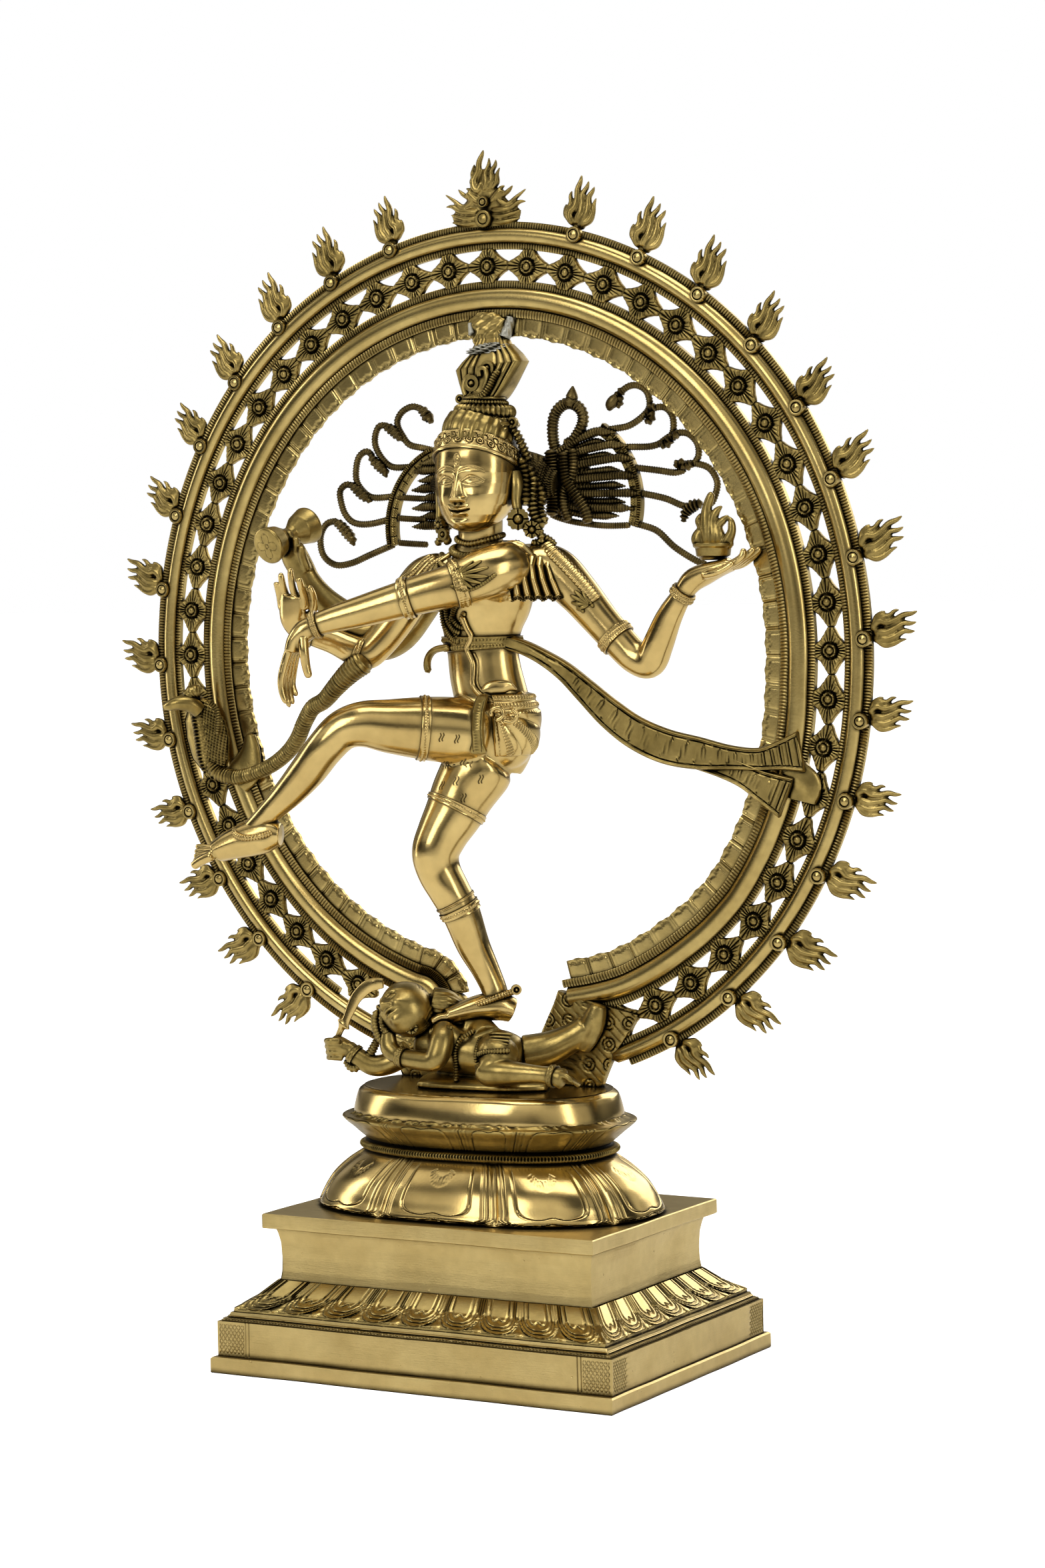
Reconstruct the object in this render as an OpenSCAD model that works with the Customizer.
/* [Plinth] */
// Half width of the bottom slab
slab_half_x = 171.6; // [150:0.2:190]
// Half depth of the bottom slab
slab_half_y = 128.2; // [110:0.2:145]
// Thickness of the bottom slab
slab_h = 12.2; // [8:0.2:18]
// Height of the plain dado above the slab
dado_h = 26.5; // [20:0.5:35]
// Half width of the upper die
die_half_x = 134.2; // [120:0.2:150]
// Half depth of the upper die
die_half_y = 87; // [75:0.2:100]
// Half width of the top plate
plate_half_x = 142; // [125:0.2:160]
// Half depth of the top plate
plate_half_y = 98.6; // [85:0.2:110]
// Wall of the hollow plinth
plinth_wall = 9; // [5:0.5:14]

/* [Lotus] */
// Height of the top of the plinth, where the lotus stands
lotus_z = 118; // [110:0.5:126]
// Height of the flat top of the lotus, where the figures stand
stage_z = 210; // [200:0.5:220]
// Wall of the hollow lotus
lotus_wall = 7; // [4:0.5:12]

/* [Arch] */
// Distance of the arch's plane behind the middle
arch_y = 25; // [15:0.5:35]
// Sideways shift of the arch that balances its flames over the plinth
arch_x = 0.5; // [-3:0.1:3]
// Height of the centre of the arch
arch_zc = 536.5; // [500:0.5:560]
// Half width of the outer hoop, at its tube
hoop_rx = 300; // [270:0.5:320]
// Half height of the outer hoop, at its tube
hoop_rz = 312.5; // [280:0.5:330]
// Number of flames on each side of the crest, right and left
flames_right = 14; // [8:1:18]
// Number of flames on the left side
flames_left = 13; // [8:1:18]
// Angle between neighbouring rosettes
rosette_step = 6.93; // [5:0.01:9]
// Height of one flame from its rivet
flame_h = 42; // [30:1:50]

/* [Fixings] */
// Radius of the fixing studs
stud_r = 4; // [3:0.5:6]
// Radius of the clearance holes for the studs
stud_hole_r = 4.5; // [3.5:0.5:6.5]
// Half width of the opening in the top plate under the hollow lotus
plate_hole_x = 80; // [60:1:85]
// Half depth of the opening in the top plate
plate_hole_y = 40; // [30:1:50]

/* [Hidden] */
dado_top = slab_h + dado_h;
step_top = 44.5;
petal_top = 66.7;
die_top = 106.8;
cavity_half = [slab_half_x - plinth_wall - 8, slab_half_y - plinth_wall - 8];
die_cavity_half = [die_half_x - plinth_wall, die_half_y - plinth_wall];
studs = [[-104, 44], [104, 44], [-104, -44], [104, -44]];
brass = [0.78, 0.64, 0.34];
dark_brass = [0.45, 0.36, 0.20];
pale_brass = [0.80, 0.70, 0.44];

// Geometry helpers ---------------------------------------------------------

function unit(v) = v / norm(v);
function point(s) = [s[0], s[1], s[2]];

// A closed body skinned over rings of points, each ring counter-clockwise seen from the far end
module skin_rings(rings) {
    n = len(rings[0]);
    m = len(rings);
    points = [for (ring = rings) for (p = ring) p];
    sides = [for (i = [0:m - 2]) for (k = [0:n - 1])
        [i * n + k, (i + 1) * n + k, (i + 1) * n + (k + 1) % n, i * n + (k + 1) % n]];
    start = [[for (k = [0:n - 1]) k]];
    finish = [[for (k = [0:n - 1]) (m - 1) * n + n - 1 - k]];
    polyhedron(points, concat(sides, start, finish));
}

// One elliptical ring across a limb: station is [x, y, z, half width, half depth]
function limb_ring(s, i, sides, side_on, grow) =
    let (t = unit(point(s[min(i + 1, len(s) - 1)]) - point(s[max(i - 1, 0)])),
         u = unit(cross(side_on, t)), v = cross(t, u))
    [for (k = [0:sides - 1])
        point(s[i]) + (s[i][3] + grow) * cos(k * 360 / sides) * u
                    + (s[i][4] + grow) * sin(k * 360 / sides) * v];

// A limb skinned through its stations; grow makes it fatter all round
module limb(s, sides = 10, side_on = [0, 1, 0], grow = 0) {
    skin_rings([for (i = [0:len(s) - 1]) limb_ring(s, i, sides, side_on, grow)]);
}

// A cuff that wraps a limb: its outside is grown and the limb itself is cut out
module cuff(s, thick) {
    difference() {
        limb(s, 10, [0, 1, 0], thick);
        limb_core(s);
    }
}

// The limb's own surface, run past both ends of a cuff
module limb_core(s) {
    n = len(s) - 1;
    first = point(s[0]) + (point(s[0]) - point(s[1])) * 0.2;
    last = point(s[n]) + (point(s[n]) - point(s[n - 1])) * 0.2;
    limb(concat([[first[0], first[1], first[2], s[0][3], s[0][4]]], [for (i = [1:n - 1]) s[i]],
        [[last[0], last[1], last[2], s[n][3], s[n][4]]]));
}

// A ring of the rounded-oblong plan that every layer of the lotus has
function plan_ring(z, hx, hy) = [for (k = [0:39])
    let (c = cos(k * 9), s = sin(k * 9))
    [hx * sign(c) * pow(abs(c), 0.84), hy * sign(s) * pow(abs(s), 0.84), z]];

// A stack of plan rings: each row is [z, half width, half depth]
module lotus_stack(rows) {
    skin_rings([for (r = rows) plan_ring(r[0], r[1], r[2])]);
}

// A hoop of the arch: section is a list of [outwards, backwards] points, anticlockwise
module hoop(rx, rz, from, to, steps, section) {
    skin_rings([for (i = [0:steps])
        let (a = from + (to - from) * i / steps,
             n = unit([sin(a) * rz, 0, cos(a) * rx]))
        [for (q = section) [arch_x + rx * sin(a), arch_y, arch_zc + rz * cos(a)] + q[0] * n + [0, q[1], 0]]]);
}

// Carries a flat outline drawn in X and Y up into the arch's plane at one angle, tilted as asked
module on_arch(a, rx, rz, tilt) {
    translate([arch_x + rx * sin(a), arch_y, arch_zc + rz * cos(a)])
        rotate([0, tilt, 0]) rotate([90, 0, 0]) children();
}

// Plinth -------------------------------------------------------------------

module box_ring(hx, hy, cx, cy, z0, z1) {
    difference() {
        translate([-hx, -hy, z0]) cube([2 * hx, 2 * hy, z1 - z0]);
        translate([-cx, -cy, z0 - 1]) cube([2 * cx, 2 * cy, z1 - z0 + 2]);
    }
}

module plinth_slab() color(brass)
    box_ring(slab_half_x, slab_half_y, cavity_half[0], cavity_half[1], 0, slab_h);

module plinth_dado() color(brass)
    box_ring(168.7, 122, cavity_half[0], cavity_half[1] - 3, slab_h, dado_top);

module plinth_bead_step() color(dark_brass)
    box_ring(162, 116, die_cavity_half[0], die_cavity_half[1], dado_top, step_top);

// Four sloping sides: one slope profile drawn along the depth, the other along the width
module plinth_petal_moulding() color(brass) difference() {
    intersection() {
        translate([0, 150, 0]) rotate([90, 0, 0]) linear_extrude(300)
            polygon([[-159, step_top], [159, step_top], [159, step_top + 3],
                     [134.2, petal_top], [-134.2, petal_top], [-159, step_top + 3]]);
        translate([-200, 0, 0]) rotate([90, 0, 90]) linear_extrude(400)
            polygon([[-114, step_top], [114, step_top], [114, step_top + 3],
                     [87, petal_top], [-87, petal_top], [-114, step_top + 3]]);
    }
    translate([-die_cavity_half[0], -die_cavity_half[1], step_top - 1])
        cube([2 * die_cavity_half[0], 2 * die_cavity_half[1], petal_top - step_top + 2]);
}

module plinth_die() color(brass)
    box_ring(die_half_x, die_half_y, die_cavity_half[0], die_cavity_half[1], petal_top, die_top);

module plinth_top_plate() color(brass) difference() {
    translate([-plate_half_x, -plate_half_y, die_top])
        cube([2 * plate_half_x, 2 * plate_half_y, lotus_z - die_top]);
    for (p = studs)
        translate([p[0], p[1], die_top - 1]) cylinder(r = stud_hole_r, h = 20, $fn = 48);
    translate([-plate_hole_x, -plate_hole_y, die_top - 1]) cube([2 * plate_hole_x, 2 * plate_hole_y, 20]);
}

// Lotus --------------------------------------------------------------------

module lotus_bell() color(brass) difference() {
    lotus_stack([[lotus_z, 137, 84], [122, 137, 83], [126, 131, 79], [134, 122, 73],
                 [142, 115, 69], [153, 107, 64], [161, 99, 61]]);
    lotus_stack([[lotus_z - 1, 90, 56], [134, 90, 56], [142, 89, 55], [162, 88, 54]]);
    for (p = studs)
        translate([p[0], p[1], lotus_z - 1]) cylinder(r = stud_r, h = 15, $fn = 48);
}

module lotus_bead_ring() color(dark_brass) difference() {
    lotus_stack([[161, 97, 60], [165, 100, 62], [169, 97, 60]]);
    lotus_stack([[160, 88, 54], [170, 88, 54]]);
}

module lotus_upper_petals() color(dark_brass) difference() {
    lotus_stack([[169, 96, 59], [177, 105, 66], [184, 114, 73], [187, 116, 74], [190, 108, 70]]);
    lotus_stack([[168, 88, 54], [191, 88, 54]]);
}

module lotus_drum() color(brass) difference() {
    lotus_stack([[190, 107, 70], [198, 105, 68], [207, 103, 66], [stage_z, 99, 63]]);
    lotus_stack([[189, 88, 54], [stage_z - lotus_wall, 88, 54]]);
}

module fixing_studs() color(dark_brass) for (p = studs)
    translate([p[0], p[1], 96]) cylinder(r = stud_r, h = lotus_z + 14 - 96, $fn = 48);

module stud_washers() color(dark_brass) for (p = studs)
    translate([p[0], p[1], die_top - 2]) difference() {
        cylinder(r = 9, h = 2, $fn = 48);
        translate([0, 0, -1]) cylinder(r = stud_hole_r, h = 4, $fn = 48);
    }

module stud_nuts() color(dark_brass) for (p = studs)
    translate([p[0], p[1], die_top - 8.5]) difference() {
        cylinder(r = 7.5, h = 6.5, $fn = 6);
        translate([0, 0, -1]) cylinder(r = stud_r, h = 9, $fn = 48);
    }

// Arch ---------------------------------------------------------------------

// A plain tube with a thin fin inside it and outside it, cast in one
module arch_outer_hoop() color(brass)
    hoop(hoop_rx, hoop_rz, -166, 163, 64,
        [[9.5, -2], [13, -1.5], [13, 1.5], [9.5, 2], [4, 5], [-4, 5], [-9.5, 1.8], [-9.5, -1.8],
         [-4, -5], [4, -5]]);

module arch_inner_hoop() color(brass)
    hoop(253.8, 265.7, -152, 150, 64,
        [[13, -2.5], [13, 2.5], [7, 3], [5, 6], [-5, 6], [-9, 3], [-12.5, 3], [-12.5, -3],
         [-7, -4], [-5, -7], [5, -7], [7, -3.5]]);

module arch_scalloped_band() color(pale_brass)
    hoop(234.5, 244.5, -150, 148, 64, [[7, -1.5], [7, 1.5], [-6.5, 1.5], [-6.5, -1.5]]);

// Diamond plates between the hoops, each with a short neck to either hoop
module arch_rosettes() color(dark_brass) for (k = [-21:22])
    on_arch(k * rosette_step, 278.7, 290, k * rosette_step)
        translate([0, 0, -2.5]) linear_extrude(5)
            polygon([[16.4, 0], [11, 4.2], [6, 8.5], [5.5, 11.4], [-5.5, 11.4], [-6, 8.5], [-11, 4.2],
                     [-16.4, 0], [-11, -4.2], [-6, -8.5], [-5.5, -11], [5.5, -11], [6, -8.5], [11, -4.2]]);

function flame_angle_right(k) = 14.4 + k * 10.6;
function flame_angle_left(k) = -(15.9 + k * 10.8);
// A flame leans back up from the direction straight outwards
function flame_lean(a) = a - sign(a) * min(27, abs(a) * 0.5);

module flame_outline()
    polygon([[-4, 7], [-9, 12], [-10, 22], [-7, 25], [-7, 31], [-3, 32], [-1, 42], [3, 36], [6, 38],
             [8, 31], [11, 33], [12, 24], [9, 14], [4, 7]]);

module arch_flames() color(brass) {
    for (k = [0:flames_right - 1]) {
        a = flame_angle_right(k);
        on_arch(a, 300, 312.5, flame_lean(a)) translate([0, 0, -3.5])
            linear_extrude(7) scale(flame_h / 42) flame_outline();
    }
    for (k = [0:flames_left - 1]) {
        a = flame_angle_left(k);
        on_arch(a, 300, 312.5, flame_lean(a)) translate([0, 0, -3.5])
            linear_extrude(7) scale(flame_h / 42) mirror([1, 0, 0]) flame_outline();
    }
}

module flame_rivets() color(brass) {
    for (k = [0:flames_right - 1])
        on_arch(flame_angle_right(k), 300, 312.5, 0) translate([0, 0, 5]) cylinder(r = 6, h = 4, $fn = 32);
    for (k = [0:flames_left - 1])
        on_arch(flame_angle_left(k), 300, 312.5, 0) translate([0, 0, 5]) cylinder(r = 6, h = 4, $fn = 32);
}

module arch_crest() color(brass)
    translate([-1, arch_y + 4, 0]) rotate([90, 0, 0]) linear_extrude(9)
        polygon([[-6, 855], [-28, 857], [-34, 866], [-38, 884], [-26, 884], [-14, 878], [-12, 890],
                 [-10, 904], [-4, 908], [0, 914], [4, 908], [11, 902], [10, 884], [16, 886],
                 [35, 884], [34, 872], [32, 860], [6, 855]]);

// Where the hoops come down to the lotus on the right: an engraved web of brass
module arch_foot_right() color(dark_brass)
    translate([0, arch_y + 4, 0]) rotate([90, 0, 0]) linear_extrude(8)
        polygon([[30, stage_z], [30, 250], [38, 262], [48, 284], [54, 300], [70, 300], [92, 290],
                 [104, 284], [96, 262], [104, 240], [112, 232], [97, 220], [90, stage_z]]);

module arch_foot_left() color(dark_brass)
    translate([0, arch_y + 4, 0]) rotate([90, 0, 0]) linear_extrude(8)
        polygon([[-90, stage_z], [-104, 228], [-118, 240], [-106, 262], [-92, 280], [-66, 300],
                 [-42, 306], [-28, 296], [-26, 280], [-30, 258], [-30, stage_z]]);

// Figure: stations of every limb ---------------------------------------------

torso_s = [[10, 2, 452, 14, 12], [12, 2, 462, 27, 22], [13, 2, 474, 34, 27], [12, 2, 488, 35, 28],
           [9, 1, 505, 31, 25], [5, 0, 522, 29, 23], [3, 0, 540, 29, 22], [3, 0, 556, 33, 24],
           [5, 0, 576, 39, 27], [5, 1, 594, 42, 27], [4, 2, 606, 34, 22], [0, 2, 613, 19, 17]];
neck_s = [[-1, 1, 612, 18, 16], [-3, 1, 622, 16, 15], [-3, 0, 633, 16, 15]];
head_s = [[-6, -12, 629, 8, 9], [-5, -10, 634, 16, 17], [-4, -7, 645, 23, 24], [-3, -5, 660, 26, 28],
          [-3, -4, 676, 27, 29], [-2, -3, 690, 27, 29], [-2, -2, 699, 25, 26]];
crown_s = [[-1, 0, 699, 22, 22], [-1, 2, 710, 17, 17], [1, 4, 724, 15, 15], [5, 6, 736, 18, 16],
           [9, 9, 750, 23, 16], [8, 13, 757, 20, 11], [3, 17, 763, 11, 7], [1, 20, 770, 9, 5]];
rear_left_s = [[50, 6, 600, 18, 17], [66, 8, 596, 19, 17], [82, 9, 579, 16, 15], [99, 10, 560, 14, 13],
               [114, 11, 544, 13, 12], [128, 12, 531, 13, 12], [139, 11, 528, 12, 11],
               [146, 9, 540, 11, 11], [156, 7, 560, 9.5, 9], [168, 5, 576, 8, 7.5],
               [174, 4, 583, 7, 6.5], [182, 5, 590, 8, 8], [196, 7, 598, 6, 12], [210, 12, 601, 5, 11],
               [221, 18, 606, 3, 8]];
front_left_s = [[46, -10, 604, 19, 16], [30, -30, 597, 21, 17], [6, -50, 588, 17, 14],
                [-10, -58, 583, 15, 13], [-26, -64, 578, 14, 12.5], [-57, -73, 570, 12, 11],
                [-80, -80, 564, 10, 9], [-93, -84, 560, 8, 7.5], [-104, -86, 552, 9, 6],
                [-111, -88, 538, 8, 5], [-113, -89, 522, 6.5, 4], [-112, -90, 505, 4, 3]];
front_right_s = [[-46, -2, 594, 17, 15], [-56, -8, 578, 16, 14], [-66, -14, 560, 14, 13],
                 [-76, -22, 544, 13, 12], [-82, -26, 535, 12, 11], [-94, -31, 542, 11, 10],
                 [-106, -36, 547, 10, 9], [-118, -42, 551, 8.5, 7.5], [-128, -47, 558, 10, 7],
                 [-134, -51, 567, 12, 6], [-132, -54, 580, 11, 5.5], [-130, -56, 594, 9, 4.5],
                 [-129, -57, 605, 6, 3]];
rear_right_s = [[-46, 10, 592, 15, 13], [-60, 8, 574, 14, 12], [-76, 6, 556, 13, 12],
                [-88, 2, 545, 12, 11], [-98, -2, 550, 11, 10], [-112, -8, 563, 10, 9],
                [-126, -16, 578, 8.5, 8], [-136, -21, 592, 7.5, 7], [-142, -23, 602, 9, 8],
                [-148, -25, 612, 8, 8]];
raised_leg_s = [[6, -16, 478, 24, 22], [-8, -24, 479, 26, 24], [-25, -38, 480, 24, 22],
                [-48, -56, 484, 20, 19], [-62, -66, 486, 17, 17], [-76, -74, 484, 15, 15],
                [-88, -78, 470, 14.5, 14], [-104, -79, 452, 14, 13], [-120, -80, 436, 12, 11],
                [-136, -81, 422, 9.5, 9], [-148, -82, 411, 8.5, 8.5], [-154, -82, 404, 10, 9]];
raised_foot_s = [[-134, -75, 396, 5, 6], [-142, -77, 398, 11, 9], [-156, -81, 399, 11, 10],
                 [-172, -85, 396, 8.5, 11], [-188, -89, 390, 7, 12], [-198, -91, 385, 5, 12],
                 [-205, -93, 382, 3, 10]];
standing_leg_s = [[8, -8, 456, 25, 22], [-1, -8, 448, 27, 24], [-8, -12, 434, 25, 23],
                  [-13, -17, 420, 23, 21], [-20, -24, 402, 19, 19], [-26, -28, 388, 17.5, 18],
                  [-23, -27, 374, 16, 16], [-15, -25, 360, 15.5, 15], [-9, -20, 345, 14, 14],
                  [-3, -13, 318, 12, 12], [4, -8, 300, 10, 10], [10, -5, 284, 9.5, 10]];
standing_foot_s = [[18, -1, 268, 7, 8], [12, -4, 271, 11, 11], [0, -12, 270, 10, 12],
                   [-14, -24, 267, 8, 13], [-24, -33, 264, 5, 13], [-29, -37, 262, 3, 10]];

module figure_torso() color(brass) union() {
    limb(torso_s, 14);
    limb(neck_s, 12);
}

module head() color(brass) difference() {
    limb(head_s, 14);
    limb(neck_s, 12);
}

module diadem() color(brass) difference() {
    limb([[-3, -5, 688, 28, 30], [-3, -5, 699, 29, 31]], 16);
    limb(head_s, 14, [0, 1, 0], 0.2);
}

module crown() color(dark_brass) difference() {
    limb(crown_s, 14);
    limb(head_s, 14);
}

module solder_joint() color(pale_brass)
    translate([0, arch_y - 1.5, 0]) rotate([90, 0, 0]) linear_extrude(3)
        polygon([[-9, 771], [9, 771], [9, 785], [4, 788], [-4, 788], [-9, 785]]);

module rear_left_arm() color(brass) difference() {
    limb(rear_left_s);
    limb(torso_s, 14);
}

module front_left_arm() color(brass) difference() {
    union() {
        limb(front_left_s);
        limb([[-100, -84, 549, 5, 5], [-96, -84, 538, 4, 4], [-93, -86, 528, 3.5, 3.5],
              [-91, -87, 519, 2, 2]], 8);
    }
    limb(torso_s, 14);
    limb(rear_left_s);
}

module front_right_arm() color(brass) difference() {
    limb(front_right_s);
    limb(torso_s, 14);
    limb(front_left_s);
}

module rear_right_arm() color(dark_brass) difference() {
    limb(rear_right_s);
    limb(torso_s, 14);
    limb(front_right_s);
}

module raised_leg() color(brass) difference() {
    union() {
        limb(raised_leg_s);
        limb(raised_foot_s);
    }
    limb(torso_s, 14);
}

module standing_leg() color(brass) difference() {
    union() {
        limb(standing_leg_s);
        limb(standing_foot_s);
    }
    limb(torso_s, 14);
    limb(raised_leg_s);
}

// Ornaments ------------------------------------------------------------------

function slice(s, from, to) = [for (i = [from:to]) s[i]];

module waist_belt() color(dark_brass) cuff([[3, 0, 537, 29, 22], [3, 0, 541, 29, 22], [3, 0, 545, 30, 22.5]], 3);

module arm_bands() color(brass) {
    cuff([[95, 10, 565, 14.5, 13.5], [99, 10, 560, 14, 13], [103, 10, 556, 13.8, 12.8]], 2.5);
    cuff([[171, 4.5, 580, 7.5, 7], [174, 4, 583, 7, 6.5], [177, 4, 586, 7.3, 7]], 2.5);
    cuff([[-22, -63, 579, 14.2, 12.6], [-26, -64, 578, 14, 12.5], [-30, -65, 577, 13.8, 12.3]], 2.5);
    cuff([[-90, -83, 561, 8.5, 8], [-93, -84, 560, 8, 7.5], [-96, -84.5, 558, 8.2, 7.2]], 2.5);
    cuff([[-115, -41, 550, 9, 8], [-118, -42, 551, 8.5, 7.5], [-121, -43.5, 553, 8.8, 7.4]], 2.5);
}

module leg_bands() color(brass) {
    cuff([[-28, -41, 481, 23.5, 21.6], [-32, -44, 481.5, 23, 21], [-36, -47, 482, 22.3, 20.6]], 2.5);
    cuff([[-11, -15, 426, 24, 22], [-13, -17, 420, 23, 21], [-15, -19, 415, 22.2, 20.5]], 2.5);
    cuff([[-11, -21, 350, 14.7, 14.5], [-9, -20, 345, 14, 14], [-7.5, -18.5, 340, 13.8, 13.8]], 2.5);
}

module anklets() color(brass) {
    cuff([[8.5, -6, 288, 9.8, 10], [10, -5, 284, 9.5, 10], [11, -4.6, 281, 9.6, 10]], 3.5);
    cuff([[-145, -81.7, 414, 9, 8.6], [-148, -82, 411, 8.5, 8.5], [-150.5, -82, 408, 9, 8.6]], 3.5);
}

// Pleated cloth wrapped round the hips over the seat
module hip_cloth() color(brass) difference() {
    limb([[14, 2, 461, 31, 26], [15, 2, 474, 39, 32], [14, 2, 490, 39, 32], [11, 1, 507, 34, 28]], 16);
    limb(torso_s, 14);
    limb(raised_leg_s);
    limb(standing_leg_s);
    translate([-70, -60, 440]) cube([70, 120, 90]);
}

module front_tassel() color(dark_brass) difference() {
    limb([[12, -34, 510, 6, 4], [13, -50, 496, 5, 4], [14, -52, 480, 5, 4], [14, -50, 464, 6, 5], [14, -50, 458, 4, 3]], 8);
    limb(torso_s, 14);
    limb(raised_leg_s);
    hip_cloth();
}

module shawl() color(brass) difference() {
    union() {
        limb([[-26, -4, 616, 12, 14], [0, -2, 616, 25, 22], [26, 0, 613, 14, 15], [46, 2, 608, 8, 12]], 12);
        limb([[46, -14, 606, 11, 8], [48, -22, 592, 12, 9], [49, -25, 578, 12, 8], [48, -24, 568, 10, 6]], 10);
        limb([[-38, -8, 608, 10, 10], [-48, -10, 600, 14, 10], [-52, -9, 590, 9, 9]], 10);
    }
    limb(torso_s, 14);
    limb(neck_s, 12);
    limb(rear_left_s);
    limb(front_left_s);
    limb(front_right_s);
    limb(rear_right_s);
    head();
}

module earrings() color(brass) for (side = [-1, 1]) difference() {
    translate([-3 + side * 28, -2, 640]) rotate([0, 90, 0]) cylinder(r = 6, h = 6, center = true, $fn = 24);
    limb(head_s, 14);
    shawl();
}

// A flat band hanging down the front from the belt and looped across the belly
module belly_band() color(brass) difference() {
    limb([[-4, -24, 543, 3, 3], [-5, -26, 522, 3, 3], [-3, -29, 506, 3, 3], [6, -30, 500, 3, 3], [18, -28, 503, 3, 3]], 8);
    limb(torso_s, 14);
    waist_belt();
}

// Hair -----------------------------------------------------------------------

module hair_roll() color(dark_brass) difference() {
    union() {
        limb([[10, 12, 664, 24, 22], [26, 30, 662, 25, 20], [44, 36, 660, 24, 16], [56, 38, 661, 20, 11]], 12, [0, 0, 1]);
        limb([[-18, 14, 662, 22, 18], [-34, 30, 662, 20, 14], [-46, 36, 664, 16, 10]], 12, [0, 0, 1]);
    }
    limb(head_s, 14);
    limb(neck_s, 12);
    limb(crown_s, 14);
}

// Strands that fan out from the roll; each ends in a leaf tip
module hair_fan() color(dark_brass) for (k = [-3:3])
    translate([40, 39, 662]) rotate([0, 90 - k * 11, 0]) translate([0, 0, 22])
        cylinder(r = 2, h = 38 - abs(k) * 2, $fn = 16);

module hair_arc_right() color(dark_brass) difference() {
    translate([50, 44, 648]) rotate([90, 0, 0]) rotate([0, 0, -18])
        rotate_extrude(angle = 75, $fn = 96) translate([62, 0]) square([8, 5]);
    hair_locks_right();
}

module hair_arc_left() color(dark_brass) difference() {
    translate([-38, 44, 632]) rotate([90, 0, 0]) rotate([0, 0, 110])
        rotate_extrude(angle = 83, $fn = 96) translate([57, 0]) square([8, 5]);
    hair_locks_left();
}

// One ribbed lock that ends in a curl; dip sags it and curl lifts the end
module lock_right(z0, x1, z1) {
    limb([[70, 40, z0 * 0.6 + 664 * 0.4, 3, 3], [110, 40, z0, 2.6, 2.6], [x1 - 26, 40, z1 - 8, 2.6, 2.6],
          [x1 - 8, 40, z1 - 6, 2.6, 2.6], [x1, 40, z1 + 6, 2.6, 2.6], [x1 - 5, 40, z1 + 16, 2.6, 2.6],
          [x1 - 13, 39, z1 + 13, 2.4, 2.4], [x1 - 15, 38, z1 + 6, 3.2, 3]], 8);
}

module hair_locks_right() color(dark_brass) {
    lock_right(700, 152, 716);
    lock_right(682, 176, 690);
    lock_right(662, 186, 664);
    lock_right(640, 176, 642);
}

module lock_left(z0, x1, z1) {
    limb([[-48, 40, z0 * 0.6 + 664 * 0.4, 3, 3], [-84, 40, z0, 2.6, 2.6], [x1 + 26, 40, z1 - 8, 2.6, 2.6],
          [x1 + 8, 40, z1 - 6, 2.6, 2.6], [x1, 40, z1 + 6, 2.6, 2.6], [x1 + 5, 40, z1 + 16, 2.6, 2.6],
          [x1 + 13, 39, z1 + 13, 2.4, 2.4], [x1 + 15, 38, z1 + 6, 3.2, 3]], 8);
}

module hair_locks_left() color(dark_brass) {
    lock_left(686, -132, 696);
    lock_left(668, -148, 672);
    lock_left(650, -158, 648);
    lock_left(626, -170, 618);
}

module hair_loop() color(dark_brass) difference() {
    limb([[52, 39, 676, 5, 5], [56, 39, 694, 4.5, 4.5], [58, 39, 712, 4.5, 4.5], [66, 39, 730, 4.5, 4.5],
          [76, 39, 724, 4, 4], [74, 39, 708, 4, 4], [66, 39, 692, 4, 4]], 8);
    limb([[10, 12, 664, 24, 22], [26, 30, 662, 25, 20], [44, 36, 660, 24, 16], [56, 38, 661, 20, 11]], 12, [0, 0, 1]);
}

// Held things -----------------------------------------------------------------

module drum() color(dark_brass) difference() {
    limb([[-156, -46, 621, 13, 13], [-155, -42, 622, 13.5, 13.5], [-153, -30, 626, 6, 6], [-152, -25, 628, 5.5, 5.5],
          [-151, -20, 630, 6, 6], [-149, -10, 634, 13.5, 13.5], [-148, -6, 635, 13, 13]], 14, [0, 0, 1]);
    limb(rear_right_s);
}

module fire_bowl() color(dark_brass) difference() {
    translate([198, 12, 604]) cylinder(r1 = 9, r2 = 14, h = 11, $fn = 40);
    limb(rear_left_s);
}

module bowl_flame() color(brass)
    limb([[198, 12, 615, 7, 6], [196, 12, 622, 11, 6], [197, 12, 634, 11, 5], [195, 12, 644, 6, 4], [194, 12, 652, 2, 2]], 8);

module cobra() color(dark_brass) difference() {
    union() {
        limb([[-84, -38, 526, 8, 8], [-96, -38, 518, 7, 7], [-110, -34, 506, 6, 6], [-124, -29, 499, 5.5, 5.5],
              [-145, -20, 489, 5, 5], [-161, -11, 476, 5, 5], [-177, -2, 460, 5, 5], [-208, 6, 446, 5, 5],
              [-232, 8, 440, 5.5, 5.5], [-252, 8, 445, 6, 6]], 8);
        limb([[-252, 8, 440, 8, 5], [-260, 8, 450, 16, 6], [-262, 8, 466, 19, 6], [-262, 8, 482, 18, 6],
              [-264, 6, 496, 10, 6], [-266, 1, 503, 7, 7], [-272, -6, 502, 4, 4]], 10);
    }
    limb(front_right_s);
}

// Sash -----------------------------------------------------------------------

module ribbon(s) limb(s, 6);

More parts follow.
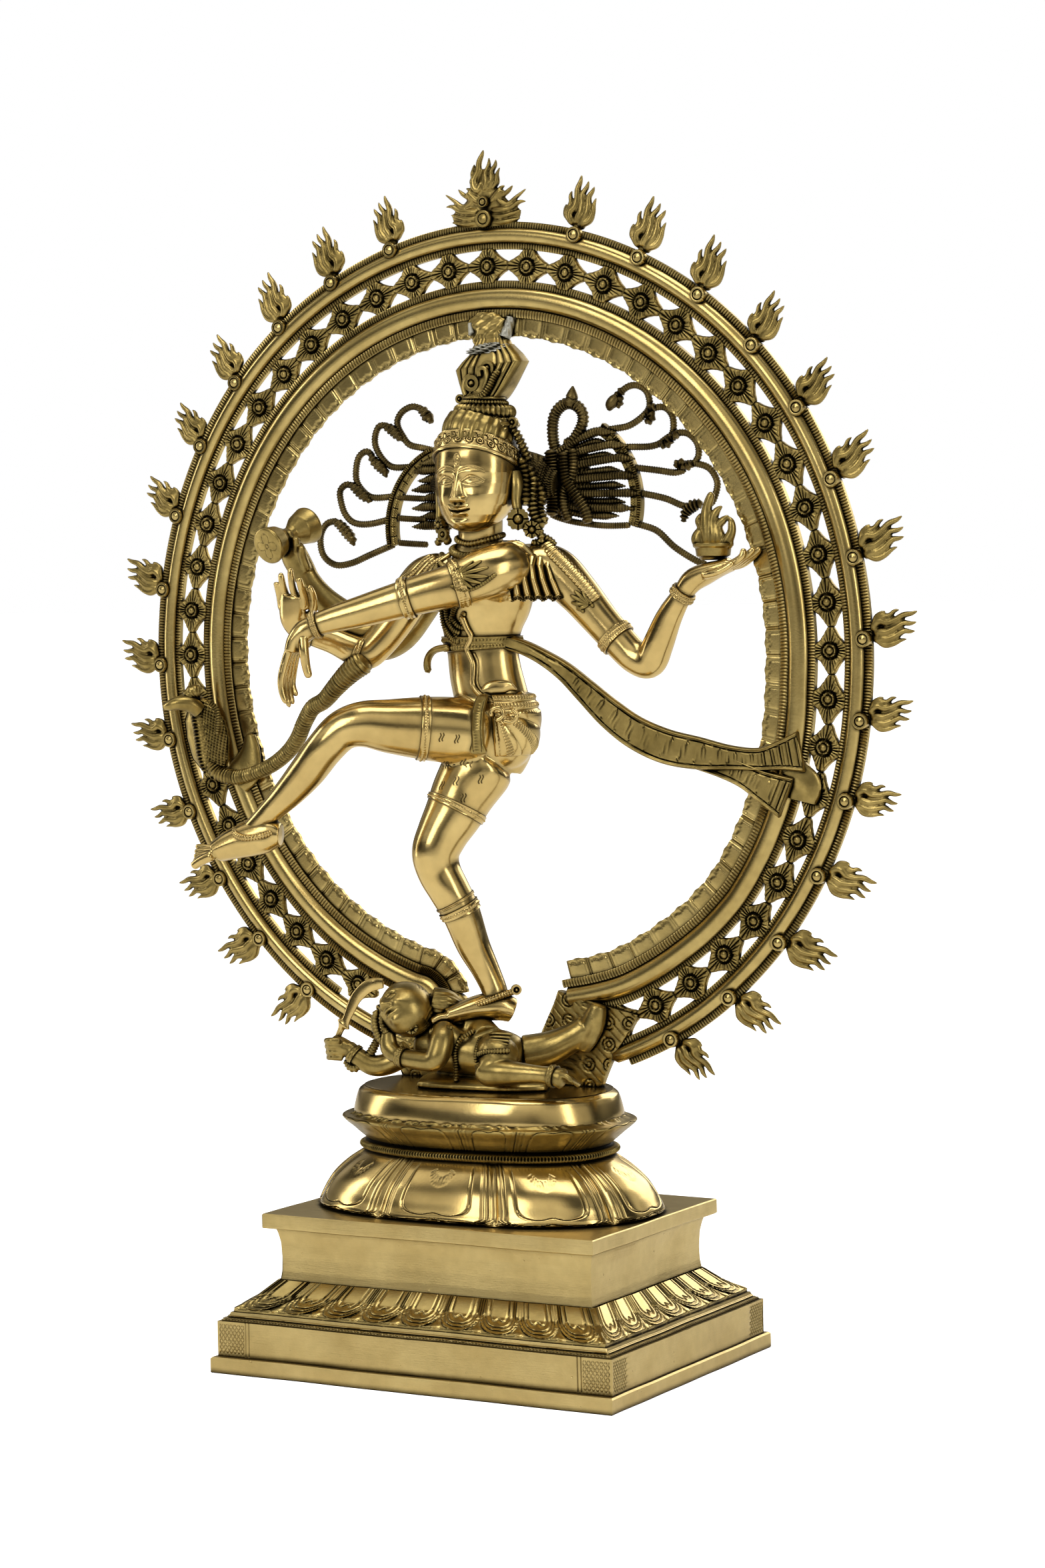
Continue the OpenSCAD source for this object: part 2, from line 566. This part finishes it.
module sash() color(dark_brass) difference() {
    union() {
        ribbon([[30, -6, 544, 5, 4], [56, -2, 534, 6, 4], [73, 0, 524, 8, 4], [90, 2, 508, 10, 3.5],
                [106, 4, 492, 12, 3], [127, 6, 476, 13, 3], [150, 8, 466, 14, 3], [176, 10, 460, 14, 3],
                [204, 12, 458, 12, 3], [222, 13, 462, 9, 3], [244, 13, 463, 9, 3], [260, 13, 463, 12, 3]]);
        ribbon([[205, 12, 454, 9, 3], [222, 13, 444, 10, 3], [238, 13, 434, 12, 3], [246, 13, 424, 12, 3]]);
    }
    limb(torso_s, 14);
    waist_belt();
}

// Dwarf ----------------------------------------------------------------------

dwarf_body_s = [[-48, -26, 250, 12, 12], [-38, -24, 248, 17, 17], [-20, -20, 240, 18, 20], [2, -17, 236, 18, 20],
                [22, -14, 234, 19, 21], [36, -10, 232, 14, 17], [42, -8, 231, 8, 10]];
dwarf_head_s = [[-46, -34, 256, 10, 10], [-50, -36, 262, 15, 14], [-56, -38, 270, 18, 17], [-62, -40, 276, 14, 14],
                [-66, -41, 280, 7, 8]];

module dwarf_body() color(brass) difference() {
    limb(dwarf_body_s, 12);
    translate([-100, -80, stage_z - 30]) cube([200, 160, 30]);
    limb(standing_foot_s);
    translate([-20, -12, 240]) cylinder(r = 5, h = 30, $fn = 32);
}

module dwarf_head() color(brass) difference() {
    limb(dwarf_head_s, 12);
    limb(dwarf_body_s, 12);
}

module dwarf_arms() color(brass) difference() {
    union() {
        limb([[-40, -34, 240, 8, 8], [-26, -44, 238, 9, 9], [-14, -48, 240, 8, 8], [-22, -50, 232, 8, 7],
              [-44, -50, 236, 6, 6], [-58, -50, 240, 6, 6]], 8);
        limb([[-54, -24, 238, 9, 9], [-72, -28, 226, 8, 8], [-86, -34, 222, 7, 7], [-100, -40, 232, 6, 6],
              [-106, -43, 240, 6, 6]], 8);
    }
    limb(dwarf_body_s, 12);
    limb(dwarf_head_s, 12);
    translate([-150, -80, stage_z - 30]) cube([200, 160, 30]);
}

module dwarf_legs() color(brass) difference() {
    union() {
        limb([[30, -24, 238, 14, 12], [34, -34, 238, 14, 12], [30, -46, 230, 12, 11], [42, -48, 226, 10, 9],
              [60, -47, 225, 8, 7], [76, -46, 226, 6, 6], [90, -46, 225, 6, 7], [96, -46, 222, 4, 6]], 10);
        limb([[36, -2, 236, 14, 13], [54, 6, 236, 13, 12], [70, 10, 246, 10, 10], [82, 12, 258, 9, 9]], 10);
        limb([[92, 14, 242, 6, 6], [90, 14, 250, 9, 7], [86, 14, 260, 10, 8], [80, 14, 270, 7, 7]], 10);
    }
    limb(dwarf_body_s, 12);
    arch_foot_right();
    translate([-100, -80, stage_z - 30]) cube([250, 160, 30]);
}

module dwarf_sword() color(brass)
    translate([0, -42, 0]) rotate([90, 0, 0]) linear_extrude(4)
        polygon([[-104, 248], [-101, 247], [-97, 258], [-88, 270], [-74, 283], [-60, 286], [-62, 289], [-76, 288],
                 [-92, 276], [-101, 262]]);

module foot_tenon() color(dark_brass) difference() {
    translate([-20, -12, 240]) cylinder(r = 5, h = 30, $fn = 32);
    limb(standing_foot_s);
}

plinth_slab();
plinth_dado();
plinth_bead_step();
plinth_petal_moulding();
plinth_die();
plinth_top_plate();
lotus_bell();
lotus_bead_ring();
lotus_upper_petals();
lotus_drum();
fixing_studs();
stud_washers();
stud_nuts();
arch_outer_hoop();
arch_inner_hoop();
arch_scalloped_band();
arch_rosettes();
arch_flames();
flame_rivets();
arch_crest();
arch_foot_right();
arch_foot_left();
figure_torso();
head();
diadem();
crown();
solder_joint();
rear_left_arm();
front_left_arm();
front_right_arm();
rear_right_arm();
raised_leg();
standing_leg();
waist_belt();
arm_bands();
leg_bands();
anklets();
hip_cloth();
front_tassel();
shawl();
earrings();
belly_band();
hair_roll();
hair_fan();
hair_arc_right();
hair_arc_left();
hair_locks_right();
hair_locks_left();
hair_loop();
drum();
fire_bowl();
bowl_flame();
cobra();
sash();
dwarf_body();
dwarf_head();
dwarf_arms();
dwarf_legs();
dwarf_sword();
foot_tenon();
